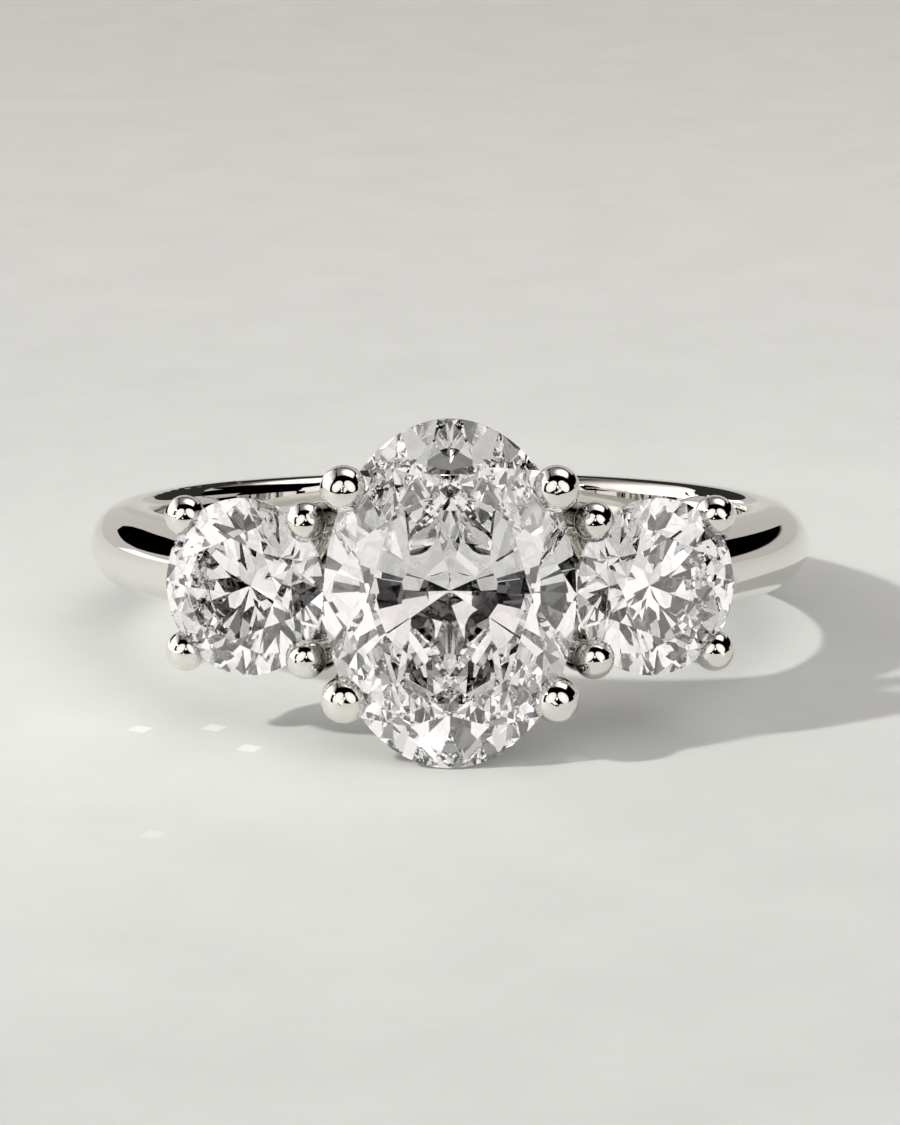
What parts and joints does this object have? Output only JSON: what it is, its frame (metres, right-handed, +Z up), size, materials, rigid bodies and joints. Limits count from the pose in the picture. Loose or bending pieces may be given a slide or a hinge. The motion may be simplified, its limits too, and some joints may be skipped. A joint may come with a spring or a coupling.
{
  "type": "three stone ring",
  "caption": "Ring with an oval stone between smaller round stones, each held by ball-tipped wire prongs on a plain domed band.",
  "frame": {"origin": "on the surface that the ring rests on, under the middle of its box", "axes": "+Z up from the surface, -Y towards the stones' tables, +Y towards the back of the band, X across the three stones. The band's axis leans 9 degrees from +Z towards +Y, because the ring rests on the oval stone's lower tip and the back of the band."},
  "size_m": [0.0204, 0.024, 0.009],
  "materials": {
    "white_gold": "mirror polished white gold",
    "diamond": "faceted and polished"
  },
  "bodies": {
    "root": {"band_with_prongs": "white_gold", "oval_stone": "diamond", "round_stone_left": "diamond", "round_stone_right": "diamond"}
  },
  "joints": []
}
